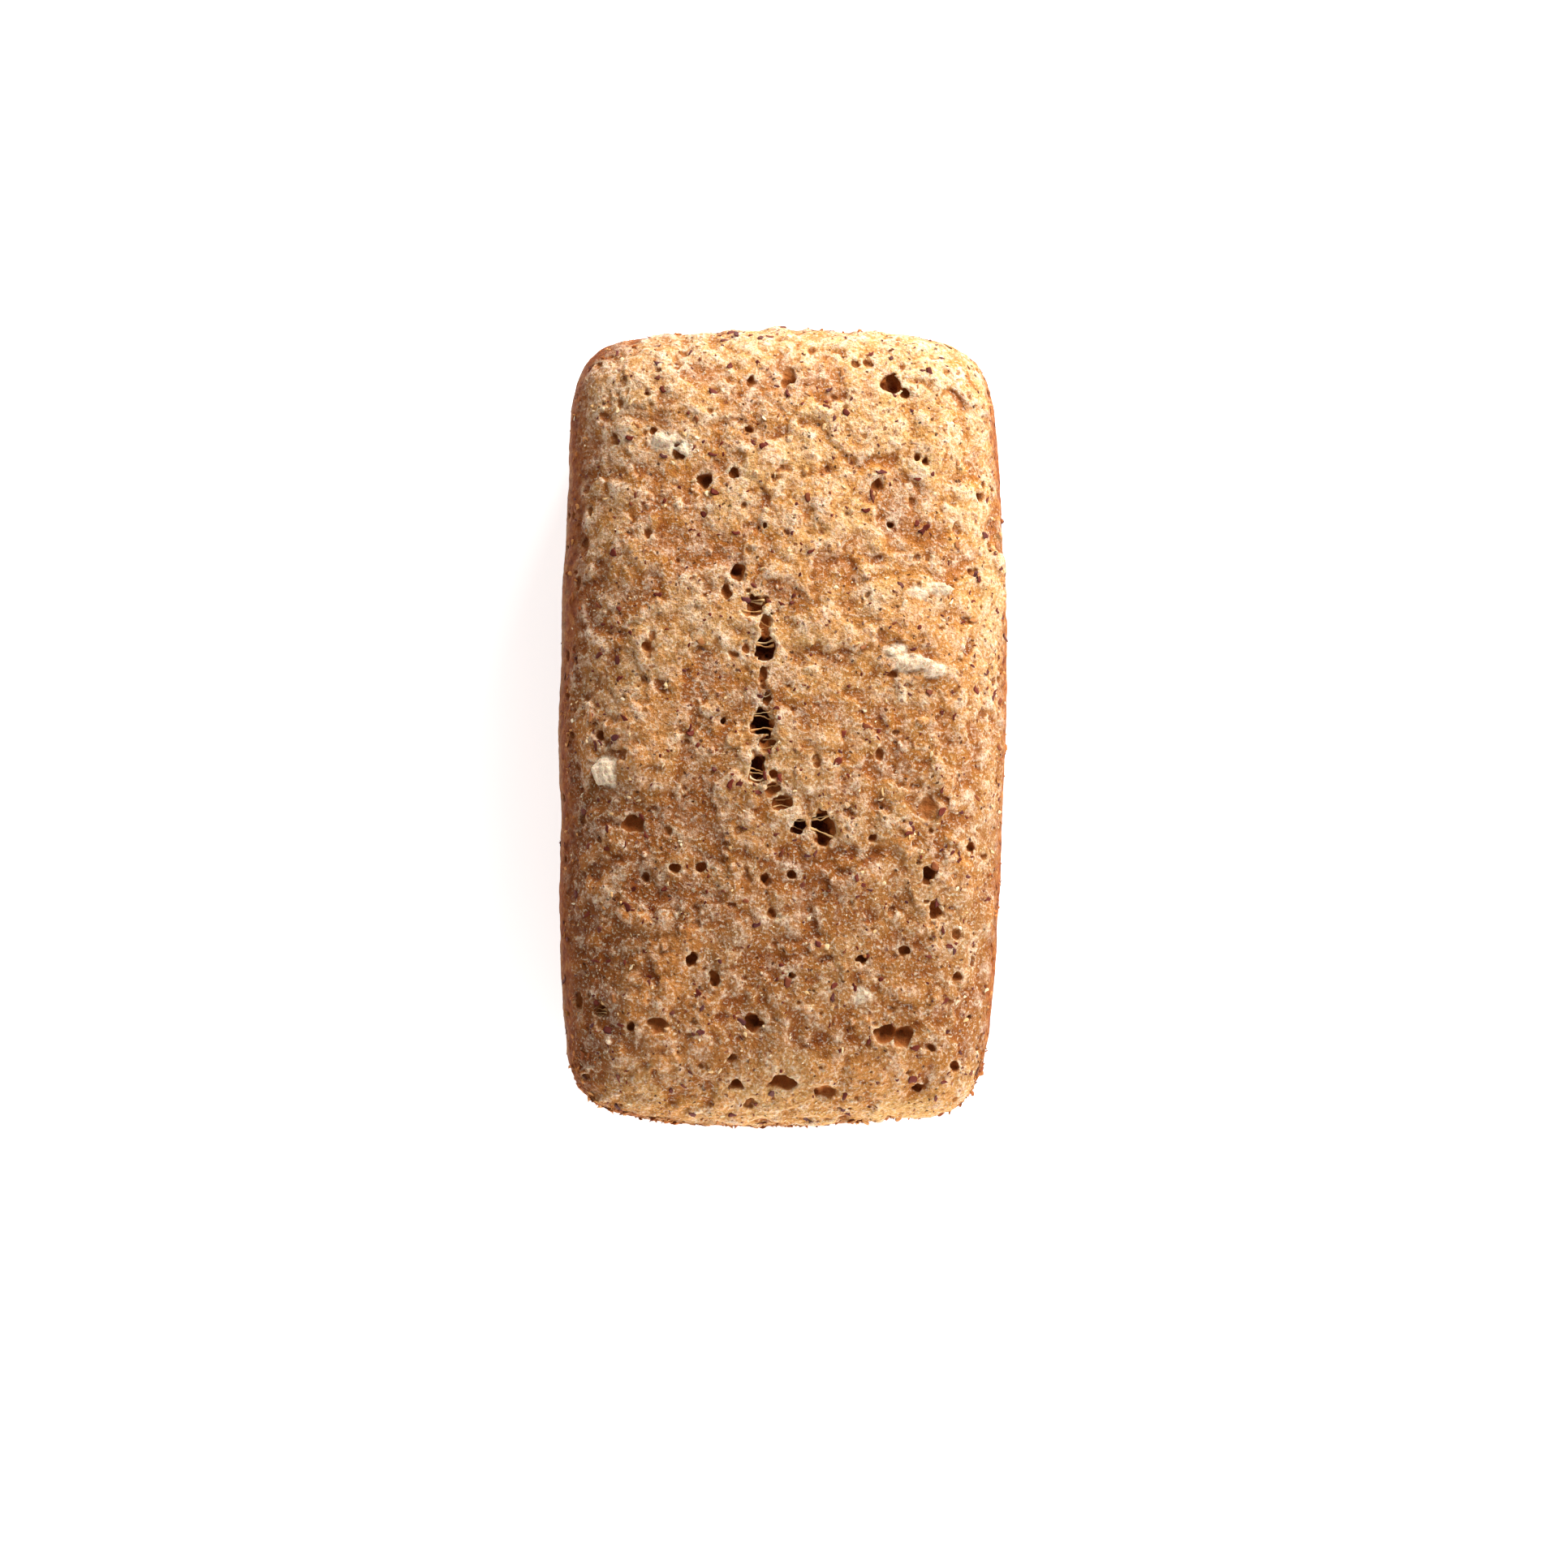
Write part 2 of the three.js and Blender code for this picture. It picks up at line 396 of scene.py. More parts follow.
def open_cells(axes, heights, cells, cut, seed, ragged):
    """Opens gas cells in the top of the crust."""
    for number, (across, along, width, length, depth) in enumerate(cells):
        x, y = across * HALF_WIDTH, along * HALF_LENGTH
        sink = depth * CELL_SINK
        top = heights[int((x - axes[0][0]) / VOXEL), int((y - axes[1][0]) / VOXEL)]
        radii = (width / 2, length / 2, depth - sink)
        slices, points = near(axes, (x, y, top - sink), [radius * 1.4 + 3 for radius in radii])
        cell = ragged_ellipsoid(points, np.array((x, y, top - sink)), radii, ragged, seed + 7 * number)
        cut[slices] = np.minimum(cut[slices], cell)


def surface_places(skin, count, seed, wanted):
    """Random places on the skin, with the directions that face out of it. wanted(points) gives the odds."""
    middle = np.argwhere(np.abs(skin) < VOXEL * 0.6)
    points = FIELD_START + middle * VOXEL
    odds = wanted(points).astype(float)
    rng = np.random.default_rng(seed)
    chosen = middle[rng.choice(len(middle), count, replace=False, p=odds / odds.sum())]
    x, y, z = np.clip(chosen, 3, np.array(skin.shape) - 4).T
    faces = np.stack(
        [
            skin[x + 3, y, z] - skin[x - 3, y, z],
            skin[x, y + 3, z] - skin[x, y - 3, z],
            skin[x, y, z + 3] - skin[x, y, z - 3],
        ],
        -1,
    )
    faces /= np.linalg.norm(faces, axis=1, keepdims=True)
    return FIELD_START + chosen * VOXEL, faces


# The odds that a place on the crust is chosen, for holes and crumbs.
def on_top(points):
    return smoothstep(60, 72, points[:, 2])


def on_wall(points):
    return (points[:, 2] < 66) * (points[:, 2] > 2)


def on_base(points):
    return points[:, 2] < 2


# Holes too small to place one by one: where they lie, how many, their seed, and their least and most radius.
SMALL_HOLES = [
    (on_top, 430, 500, 0.4, 1.5),
    (on_wall, 620, 600, 0.4, 1.3),
    (on_base, 120, 700, 0.45, 1.4),
]


def open_small_holes(skin, axes, cut, wanted, count, seed, smallest, largest):
    """Opens small gas holes at random places on the crust: a few go deep, and most are dimples."""
    places, faces = surface_places(skin, count, seed, wanted)
    rng = np.random.default_rng(seed + 1)
    for number, (place, face) in enumerate(zip(places, faces)):
        radius = smallest + (largest - smallest) * rng.random() ** 3
        sink = rng.uniform(0.2, 0.8) if rng.random() < DEEP_SHARE else rng.uniform(-0.5, 0.1)
        centre = place - face * radius * sink
        slices, points = near(axes, centre, [radius * 1.4 + 2] * 3)
        radii = [radius * s for s in rng.uniform(0.7, 1.45, 3)]
        hole = ragged_ellipsoid(points, centre, radii, SMALL_HOLE_RAGGEDNESS, number)
        cut[slices] = np.minimum(cut[slices], hole)


def add_lumps(axes, heights, lumps, field, seed):
    """Lays oat flakes and clots of flour on the top of the crust."""
    for number, (across, along, width, length, height) in enumerate(lumps):
        x, y = across * HALF_WIDTH, along * HALF_LENGTH
        top = heights[int((x - axes[0][0]) / VOXEL), int((y - axes[1][0]) / VOXEL)]
        radii = (width / 2, length / 2, height)
        slices, points = near(axes, (x, y, top), [radius * 1.5 + 3 for radius in radii])
        centre = np.array((x, y, top - height * 0.25))
        lump = ragged_ellipsoid(points, centre, radii, LUMP_RAGGEDNESS, seed + 5 * number)
        field[slices] = np.minimum(field[slices], lump)


def add_crumbs(skin, axes, field, count, seed, wanted):
    """Adds crumbs of the crust itself, which stand on it at random places."""
    places, _ = surface_places(skin, count, seed, wanted)
    rng = np.random.default_rng(seed + 1)
    for number, place in enumerate(places):
        radius = 0.45 + 0.5 * rng.random() ** 2
        slices, points = near(axes, place, [radius * 1.4 + 2] * 3)
        radii = [radius * s for s in rng.uniform(0.7, 1.5, 3)]
        crumb = ragged_ellipsoid(points, place, radii, CRUMB_RAGGEDNESS, number)
        field[slices] = np.minimum(field[slices], crumb)


# ---- Meshing -------------------------------------------------------------------------------------------


def meshed(solid):
    """Points and quads of a field's zero surface, in millimetres."""
    grid = openvdb.FloatGrid(MESH_BAND)
    grid.transform = openvdb.createLinearTransform(voxelSize=VOXEL)
    grid.copyFromArray(np.clip(solid, -MESH_BAND, MESH_BAND).astype(np.float32))
    points, quads = grid.convertToQuads()
    return points + FIELD_START, quads.astype(np.int64)


def largest_body(points, quads):
    """Leaves out closed bubbles inside the crust and loose bits outside it."""
    body = np.arange(len(points))
    pairs = np.concatenate([quads[:, [0, 1]], quads[:, [1, 2]], quads[:, [2, 3]]])
    while True:
        least = np.minimum(body[pairs[:, 0]], body[pairs[:, 1]])
        before = body.copy()
        np.minimum.at(body, body[pairs[:, 0]], least)
        np.minimum.at(body, body[pairs[:, 1]], least)
        body = body[body]
        if (body == before).all():
            break
    largest = np.bincount(body).argmax()
    kept = body == largest
    renumbered = np.cumsum(kept) - 1
    return points[kept], renumbered[quads[kept[quads].all(1)]]


def normals_of(points, quads):
    """The direction that faces out at each point."""
    across = np.cross(points[quads[:, 2]] - points[quads[:, 0]], points[quads[:, 3]] - points[quads[:, 1]])
    normals = np.stack(
        [
            sum(np.bincount(quads[:, corner], across[:, axis], len(points)) for corner in range(4))
            for axis in range(3)
        ],
        -1,
    )
    return normals / np.maximum(np.linalg.norm(normals, axis=1, keepdims=True), 1e-9)


def to_mesh(name, points, faces, corners):
    """A Blender mesh, in metres, from points in millimetres and faces of the same number of corners."""
    mesh = bpy.data.meshes.new(name)
    mesh.vertices.add(len(points))
    mesh.vertices.foreach_set("co", (points * MM).astype(np.float32).ravel())
    mesh.loops.add(len(faces) * corners)
    mesh.loops.foreach_set("vertex_index", faces.astype(np.int32).ravel())
    mesh.polygons.add(len(faces))
    mesh.polygons.foreach_set("loop_start", np.arange(len(faces), dtype=np.int32) * corners)
    mesh.update(calc_edges=True)
    mesh.validate()
    mesh.shade_smooth()
    return mesh


def set_attribute(mesh, name, values):
    """Keeps a value for each point of a mesh, for its material to read."""
    mesh.attributes.new(name, "FLOAT", "POINT").data.foreach_set("value", values.astype(np.float32))


def box_map(mesh, points, quads, facing):
    """A UV map that looks at the loaf from its six sides, so that each part of the crust has its place."""
    long_side, end, deep = HALF_LENGTH * 2 + MAP_GAP, HALF_WIDTH * 2 + MAP_GAP, HEIGHT + MAP_GAP
    facing = facing[quads].mean(1)
    side = np.abs(facing).argmax(1) * 2 + (facing[np.arange(len(facing)), np.abs(facing).argmax(1)] < 0)
    x, y, z = (points[:, 0] + end / 2, points[:, 1] + long_side / 2, points[:, 2] + MAP_GAP / 2)
    spots = [
        (2 * end + z, y),
        (2 * end + deep + z, y),
        (x, long_side + z),
        (end + x, long_side + z),
        (x, y),
        (end + x, y),
    ]
    full = np.array((2 * end + 2 * deep, long_side + deep))
    uv = np.empty((len(quads), 4, 2), np.float32)
    for number, spot in enumerate(spots):
        chosen = side == number
        uv[chosen] = (np.stack(spot, -1) / full)[quads[chosen]]
    mesh.uv_layers.new(name="OFBake").data.foreach_set("uv", uv.ravel())


def carved_loaf(axes):
    """The loaf as fields: its smooth body, its skin, the cells cut in it, the flour on it, and the result.
    The others give how far the skin rose, how far above the tin's line it is, how much of it is the open
    top's, and the crust's height over each place."""
    body = smooth_body(axes)
    side_rise = np.where(axes[0] < 0, WEST_TIN_RISE, EAST_TIN_RISE)[:, None]
    line = TIN_LINE + side_rise * (1 - np.abs(axes[1] / HALF_LENGTH)[None, :] ** 6)
    waver = TIN_LINE_WAVER * rough_field(axes, 9, 21)
    above_tin = axes[2][None, None, :] - line[:, :, None] + waver
    top = smoothstep(-3, 5, above_tin)
    rise = relief(axes, top)
    skin = body - rise - swellings(axes)
    heights = crust_height(skin, axes)

    tear = np.full(skin.shape, NOWHERE_NEAR, np.float32)
    open_cells(axes, heights, TEAR_CELLS, tear, 100, TEAR_RAGGEDNESS)
    cut = tear.copy()
    open_cells(axes, heights, GAS_HOLES, cut, 300, HOLE_RAGGEDNESS)
    for small_holes in SMALL_HOLES:
        open_small_holes(skin, axes, cut, *small_holes)
    cut += RIM_FRAYING * rough_field(axes, 1.3, 22)

    lip = TEAR_LIP * np.exp(-((tear / TEAR_LIP_WIDTH) ** 2))
    lip = lip + CELL_LIP * np.exp(-((np.maximum(cut, 0) / CELL_LIP_WIDTH) ** 2))
    skin = skin - np.where(tear < LIP_REACH, lip, 0)
    solid = soft_maximum(skin, -cut, RIM_ROUNDING)

    flour = np.full(skin.shape, NOWHERE_NEAR, np.float32)
    add_lumps(axes, heights, FLOUR_LUMPS, flour, 800)
    crumbs = np.full(skin.shape, NOWHERE_NEAR, np.float32)
    add_crumbs(skin, axes, crumbs, CRUMB_COUNT, 900, on_top)
    solid = np.minimum(np.minimum(solid, flour), crumbs)
    return {
        "body": body, "skin": skin, "cut": cut, "flour": flour, "solid": solid, "rise": rise,
        "above_tin": above_tin, "top": top, "heights": heights,
    }


def grained(points, normals, top, flour):
    """The points pushed out and in by grain finer than the field: sandy on top, and flaky where floury."""
    grain = 0.26 * np.abs(lattice_noise(points, 1.9, 31)) + 0.18 * lattice_noise(points, 1.05, 32) - 0.09
    fine = (0.4 + 0.6 * top) * grain
    fine *= smoothstep(0, 4, points[:, 2])
    fine += flour * (0.3 * lattice_noise(points, 1.3, 33) + 0.25 * lattice_noise(points, 0.8, 34))
    points = points + normals * fine[:, None]
    points[:, 2] = np.maximum(points[:, 2], 0)
    return points


def make_crust(fields):
    """The crust's mesh, with what its material reads at each point, and spots for flakes to lie on."""
    solid, body = fields["solid"], fields["body"]
    points, quads = largest_body(*meshed(solid))
    normals = normals_of(points, quads)
    if (points * normals).sum() < 0:
        quads = quads[:, ::-1]
        normals = -normals
    top = read(fields["top"], points)
    flour = 1 - smoothstep(0.1, 0.9, read(fields["flour"], points))
    above_tin = read(fields["above_tin"], points)
    attributes = {
        "depth": -read(fields["skin"], points),
        "rise": read(fields["rise"], points),
        "pinch": read(blurred(solid, PINCH_SCALE, VOXEL) - solid, points),
        "dip": read(blurred(solid, DIP_SCALE, VOXEL) - solid, points),
        "above_tin": np.clip(above_tin, -20, 20),
        "hole": read(fields["cut"], points),
        "flour": flour,
    }
    steps = np.eye(3, dtype=np.float32) * 2
    facing = np.stack([read(body, points + step) - read(body, points - step) for step in steps], -1)
    points = grained(points, normals, top, flour)

    mesh = to_mesh("crust", points, quads, 4)
    for name, values in attributes.items():
        set_attribute(mesh, name, values)
    box_map(mesh, points, quads, facing)
    crust = bpy.data.objects.new("crust", mesh)
    bpy.context.collection.objects.link(crust)
    spots = {
        "points": points, "facing": facing, "depth": attributes["depth"], "on_top": top, "flour": flour,
        "above_tin": above_tin,
    }
    return crust, spots


def make_flakes(name, spots, odds, count, seed, shortest, longest, tilt, thickness):
    """Thin curled flakes of about one size, each half baked into the crust at a random spot."""
    rng = np.random.default_rng(seed)
    chosen = rng.choice(len(odds), count, replace=False, p=odds / odds.sum())
    per_sheet = 1 + len(FLAKE_RINGS) * FLAKE_SIDES
    all_points, all_faces, tones = [], [], []
    for index in chosen:
        up = spots["facing"][index] / np.linalg.norm(spots["facing"][index])
        up = up + rng.normal(0, tilt, 3)
        up /= np.linalg.norm(up)
        side = np.cross(up, rng.normal(0, 1, 3))
        side /= np.linalg.norm(side)
        other = np.cross(up, side)
        length = shortest + (longest - shortest) * rng.random() ** 3
        width = length * rng.uniform(0.4, 0.8)
        curl = rng.uniform(-0.1, 0.35)
        rim = 1 + 0.2 * rng.standard_normal(FLAKE_SIDES)
        for sheet in (1, -1):
            base = len(all_points)
            all_points.append(spots["points"][index] + up * sheet * thickness / 2)
            for ring in FLAKE_RINGS:
                for spot in range(FLAKE_SIDES):
                    turn = 2 * math.pi * spot / FLAKE_SIDES
                    a, b = ring * rim[spot] * math.cos(turn), ring * rim[spot] * math.sin(turn)
                    lift = curl * a**2 * length + sheet * thickness / 2 * (1 - ring**2)
                    offset = side * a * length + other * b * width + up * lift
                    all_points.append(spots["points"][index] + offset)
            for spot in range(FLAKE_SIDES):
                inner, inner_next = base + 1 + spot, base + 1 + (spot + 1) % FLAKE_SIDES
                outer, outer_next = inner + FLAKE_SIDES, inner_next + FLAKE_SIDES
                for face in (
                    (base, inner, inner_next), (inner, outer, outer_next), (inner, outer_next, inner_next),
                ):
                    all_faces.append(face[::sheet])
        tones += [rng.random()] * (2 * per_sheet)
    return loose_piece(name, np.array(all_points), np.array(all_faces), tones)


def loose_piece(name, points, triangles, tones):
    """An object made of many small closed bodies, each with a tone of its own."""
    mesh = to_mesh(name, points, triangles, 3)
    set_attribute(mesh, "tone", np.array(tones))
    bm = bmesh.new()
    bm.from_mesh(mesh)
    bmesh.ops.remove_doubles(bm, verts=bm.verts[:], dist=0.001 * MM)
    bm.to_mesh(mesh)
    bm.free()
    piece = bpy.data.objects.new(name, mesh)
    bpy.context.collection.objects.link(piece)
    return piece


def make_strands(axes, heights):
    """Gluten strands that still bridge the tear and the torn holes, each a thin tube that sags a little."""
    rng = np.random.default_rng(61)
    all_points, all_faces, tones = [], [], []
    for across, along, width, length, _ in TEAR_CELLS + TORN_HOLES:
        middle = np.array((across * HALF_WIDTH, along * HALF_LENGTH))
        places = rng.uniform(0.25, 0.8, STRANDS_PER_CELL) * rng.choice((-1, 1), STRANDS_PER_CELL)
        for place_along in places:
            reach = 0.62 * width * math.sqrt(1 - place_along**2)
            ends = []
            for bank in (-1, 1):
                x = middle[0] + bank * reach
                y = middle[1] + place_along * length / 2 + rng.normal(0, 0.12 * length)
                top = heights[int((x - axes[0][0]) / VOXEL), int((y - axes[1][0]) / VOXEL)]
                ends.append(np.array((x, y, top - rng.uniform(0.4, 1.8))))
            run = ends[1] - ends[0]
            shares = np.linspace(0, 1, STRAND_STEPS)
            path = ends[0] + run * shares[:, None]
            path[:, 2] -= rng.uniform(0, 0.9) * np.sin(shares * math.pi)
            path[:, 1] += rng.uniform(-0.9, 0.9) * np.sin(shares * math.pi)
            path += rng.normal(0, 0.1, path.shape)
            side = np.cross(run, (0, 0, 1.0))
            side /= np.linalg.norm(side)
            over = np.cross(side, run / np.linalg.norm(run))
            base = len(all_points)
            thick = rng.uniform(0.1, 0.26)
            for share, spot in zip(shares, path):
                swell = thick * (0.8 + 8 * (share - 0.5) ** 2) * rng.uniform(0.75, 1.25)
                for turn in np.arange(STRAND_SIDES) * 2 * math.pi / STRAND_SIDES:
                    all_points.append(spot + swell * (side * math.cos(turn) + over * math.sin(turn)))
            for step in range(STRAND_STEPS - 1):
                for number in range(STRAND_SIDES):
                    a = base + step * STRAND_SIDES + number
                    b = base + step * STRAND_SIDES + (number + 1) % STRAND_SIDES
                    c, d = a + STRAND_SIDES, b + STRAND_SIDES
                    all_faces += [(a, b, d), (a, d, c)]
            last = base + (STRAND_STEPS - 1) * STRAND_SIDES
            for number in range(1, STRAND_SIDES - 1):
                all_faces.append((base, base + number + 1, base + number))
                all_faces.append((last, last + number, last + number + 1))
            tones += [rng.random()] * (STRAND_STEPS * STRAND_SIDES)
    return loose_piece("strands", np.array(all_points), np.array(all_faces), tones)


def make_crust_and_strands():
    """The crust, spots on it for flakes to lie on, and the strands that cross its tear."""
    axes = field_axes(VOXEL)
    fields = carved_loaf(axes)
    crust, spots = make_crust(fields)
    return crust, spots, make_strands(axes, fields["heights"])


# ---- Materials -----------------------------------------------------------------------------------------


def linear(hex_colour):
    """A colour given as sRGB hex, as the linear RGBA that nodes take."""
    parts = [int(hex_colour[i : i + 2], 16) / 255 for i in (1, 3, 5)]
    return [p / 12.92 if p <= 0.04045 else ((p + 0.055) / 1.055) ** 2.4 for p in parts] + [1]


def add(tree, kind, links=(), stops=(), **settings):
    """Adds a node. links gives its sockets, in order or by name, a value, a hex colour, or what they read.
    stops gives a colour ramp's places and colours, its two ends first."""
    node = tree.nodes.new("ShaderNode" + kind)
    for name, value in settings.items():
        setattr(node, name, value)
    for name, value in links.items() if isinstance(links, dict) else enumerate(links):
        if isinstance(value, bpy.types.Node):
            value = next(socket for socket in value.outputs if socket.enabled)
        if isinstance(value, bpy.types.NodeSocket):
            tree.links.new(value, node.inputs[name])
        else:
            node.inputs[name].default_value = linear(value) if isinstance(value, str) else value
    for number, (place, colour) in enumerate(stops):
        elements = node.color_ramp.elements
        element = elements[number] if number < 2 else elements.new(place)
        element.position = place
        element.color = linear(colour)
    return node


def new_material(name):
    """An empty material, and the tree that its nodes go in."""
    material = bpy.data.materials.new(name)
    material.use_nodes = True
    material.node_tree.nodes.clear()
    return material, material.node_tree


def crust_material():
    """Baked wholegrain crust: dough whose sugars turned brown in the oven, over a paler, floury, open crumb.

    It gives the eye a matt, sandy skin: golden where it is whole, cream where it tore, red-brown along the
    tin's rim, and a duller, smoother brown where the tin's walls held it. Shade is painted into the colour
    too: darker hollows, creases, pinholes and hole depths, and a darker south-west and west side. The cream
    fuzz and hole rims are kept to raised tips, and the sandy grains are pale on top and dark between: partly
    painted highlight and shade.
    """
    material, tree = new_material("Baked wholegrain crust")
    place = add(tree, "TexCoord").outputs["Object"]
    across, along, height = add(tree, "SeparateXYZ", [place]).outputs
    depth, rise, pinch, dip, line, hole, flour = (
        add(tree, "Attribute", attribute_name=name).outputs["Fac"]
        for name in ("depth", "rise", "pinch", "dip", "above_tin", "hole", "flour")
    )
    # Noises, each by the size of its lumps in millimetres.
    patches, blotches, mottle, waver, burnt, flecks, fibre, crumbs = (
        add(
            tree, "TexNoise",
            {"Vector": place, "Scale": 1 / (size * MM), "Detail": detail, "Roughness": rough},
        )
        for size, detail, rough in (
            (17, 3, 0.5), (13, 4, 0.6), (5, 5, 0.68), (3, 4, 0.6),
            (2.6, 5, 0.7), (1.6, 4, 0.65), (1.1, 3, 0.62), (0.85, 3, 0.6),
        )
    )

    # Where the tin held the dough: 1 on the walls, 0 above the rim.
    wandering = add(tree, "MapRange", [waver, 0.3, 0.7, -2.0, 2.0])
    above_tin = add(tree, "Math", [line, wandering], operation="ADD")
    tin = add(tree, "MapRange", [above_tin, -3.5, 2.5, 1.0, 0.0])

    # The top's tone: raised lumps are toasted golden, and hollows are painted browner and duller as shade.
    toast_and_hollow_shade = add(tree, "MapRange", [rise, -1.5, 1.3])
    for value, low, high, least, most in ((patches, 0.38, 0.62, -0.3, 0.3), (dip, -0.7, 0.7, -0.22, 0.22)):
        change = add(tree, "MapRange", [value, low, high, least, most])
        toast_and_hollow_shade = add(tree, "Math", [toast_and_hollow_shade, change], operation="ADD")
    top = add(
        tree, "ValToRGB", [toast_and_hollow_shade],
        [(0.0, "#bb742e"), (1.0, "#ecbc7a"), (0.35, "#d6964a"), (0.65, "#e4ac66")],
    )

    # Painted shade: the crown goes a darker brown to the south-west, and on the west side near the tin's rim,
    # the parts that face away from the key light.
    south = add(tree, "MapRange", [along, 65 * MM, -50 * MM, 0.0, 0.6])
    west = add(tree, "MapRange", [across, 30 * MM, -60 * MM, 0.0, 0.2])
    south_west_shade = add(tree, "Math", [south, west], operation="ADD")
    # Painted shade on the west shoulder near the rim.
    west_rim_shade = add(tree, "MapRange", [above_tin, 15.0, 2.0, 0.0, 0.55])
    west_most = add(tree, "MapRange", [across, 30 * MM, -50 * MM, 0.2, 1.0])
    west_rim_shade = add(tree, "Math", [west_rim_shade, west_most], operation="MULTIPLY")
    off_end = add(tree, "MapRange", [along, -106 * MM, -88 * MM, 0.0, 1.0])
    south_west_shade = add(tree, "Math", [south_west_shade, off_end], operation="MULTIPLY")
    south_west_shade = add(tree, "Math", [south_west_shade, west_rim_shade], operation="ADD", use_clamp=True)

    # Torn skin: floury fuzz in patches, and a web of thin cell walls round gas cells of 2 to 3 mm.
    warp = add(tree, "TexNoise", {"Vector": place, "Scale": 1 / (1.2 * MM), "Detail": 2})
    bent = add(tree, "Mix", {0: 0.0016, 4: place, 5: warp.outputs["Color"]}, data_type="VECTOR")
    drift = add(tree, "MapRange", [along, -60 * MM, 90 * MM, -0.04, 0.055])
    torn = add(tree, "Math", [mottle, drift], operation="ADD")
    torn = add(tree, "MapRange", [torn, 0.45, 0.6])
    fuzz = add(tree, "MapRange", [fibre, 0.42, 0.56, 0.15, 0.9])
    cell_walls = add(
        tree, "TexVoronoi", {"Vector": bent, "Scale": 1 / (2.6 * MM)}, feature="DISTANCE_TO_EDGE"
    )
    web = add(tree, "MapRange", [cell_walls, 0.02, 0.16, 0.9, 0.0])
    fuzz = add(tree, "Math", [fuzz, web], operation="MAXIMUM")
    fuzz = add(tree, "Math", [fuzz, torn], operation="MULTIPLY")
    # Painted highlight: the fuzz is kept to the raised tips, where light falls, and fades in the hollows.
    lit_tips_highlight = add(tree, "MapRange", [pinch, -0.12, 0.2, 0.1, 1.0])
    fuzz = add(tree, "Math", [fuzz, lit_tips_highlight], operation="MULTIPLY")

    # Ground bran in the dough: flecks of 1 to 2 mm, and pinholes, whose dark dots are painted shade.
    specks = add(tree, "TexVoronoi", {"Vector": bent, "Scale": 1 / (2.3 * MM)})
    speck_odds = add(tree, "SeparateColor", [specks.outputs["Color"]])
    speck = add(tree, "MapRange", [specks.outputs["Distance"], 0.17, 0.25, 0.8, 0.0])
    chosen = add(tree, "MapRange", [speck_odds.outputs[0], 0.55, 0.6])
    speck = add(tree, "Math", [speck, chosen], operation="MULTIPLY")
    speck_tone = add(
        tree, "ValToRGB", [speck_odds.outputs[1]],
        [(0.0, "#6e3420"), (1.0, "#b57a42"), (0.45, "#8f4e2c"), (0.8, "#70504c")],
    )
    pins = add(tree, "TexVoronoi", {"Vector": bent, "Scale": 1 / (2.9 * MM)})
    pin_odds = add(tree, "SeparateColor", [pins.outputs["Color"]])
    pin = add(tree, "MapRange", [pins.outputs["Distance"], 0.1, 0.17, 0.85, 0.0])
    chosen = add(tree, "MapRange", [pin_odds.outputs[2], 0.5, 0.55])
    pin = add(tree, "Math", [pin, chosen], operation="MULTIPLY")

    # Laid over the top's tone in turn: painted shade to the south-west, golden caps on the raised plates,
    # fuzz, painted shade in the creases, burnt patches, and sandy crumbs of under a millimetre, pale on top
    # and dark between, which is partly painted highlight and shade.
    for share, colour in (
        # Painted shade: darker brown to the south-west and on the west near the rim.
        (south_west_shade, "#874b17"),
        (add(tree, "MapRange", [rise, 0.25, 1.0, 0.0, 0.5]), "#dd9246"),
        (fuzz, "#fee7ce"),
        # Painted shade: creases darkened to red-brown.
        (add(tree, "MapRange", [pinch, -0.04, -0.34, 0.0, 0.75]), "#8c4518"),
        (add(tree, "MapRange", [burnt, 0.43, 0.33, 0.0, 0.65]), "#8a4519"),
        # Sandy crumbs: darker gaps and pale grains, partly painted shade and highlight on the grain's relief.
        (add(tree, "MapRange", [crumbs, 0.48, 0.36, 0.0, 0.5]), "#9c5a28"),
        (add(tree, "MapRange", [crumbs, 0.53, 0.66, 0.0, 0.6]), "#fbead2"),
        (speck, speck_tone),
        # Painted shade: pinholes on the top, as dark dots.
        (pin, "#4e2814"),
    ):
        top = add(tree, "Mix", {0: share, 6: top, 7: colour}, data_type="RGBA")

    # Walls: an even, duller brown, darker towards the base, with pits and creases painted dark as shade.
    wall_tone = add(tree, "MapRange", [blotches, 0.25, 0.75, 0.3, 0.72])
    for value, low, high, least, most in (
        (rise, -0.6, 0.5, -0.15, 0.15), (flecks, 0.35, 0.65, -0.3, 0.3), (height, 0, 30 * MM, -0.2, 0.05),
    ):
        change = add(tree, "MapRange", [value, low, high, least, most])
        wall_tone = add(tree, "Math", [wall_tone, change], operation="ADD")
    wall = add(
        tree, "ValToRGB", [wall_tone],
        [(0.0, "#684229"), (1.0, "#bd9169"), (0.4, "#8c5f3d"), (0.75, "#a67850")],
    )
    for share, colour in (
        (speck, speck_tone),
        # Painted shade: pinholes on the walls, as dark dots.
        (pin, "#40200f"),
        (add(tree, "MapRange", [burnt, 0.42, 0.32, 0.0, 0.5]), "#5c3720"),
        # Pale sandy crumbs on the walls: partly painted highlight.
        (add(tree, "MapRange", [crumbs, 0.55, 0.68, 0.0, 0.4]), "#d3ab80"),
        # Painted shade: creases on the walls darkened.
        (add(tree, "MapRange", [pinch, 0.0, -0.25, 0.0, 0.75]), "#4c2a17"),
    ):
        wall = add(tree, "Mix", {0: share, 6: wall, 7: colour}, data_type="RGBA")
    skin = add(tree, "Mix", {0: tin, 6: top, 7: wall}, data_type="RGBA")

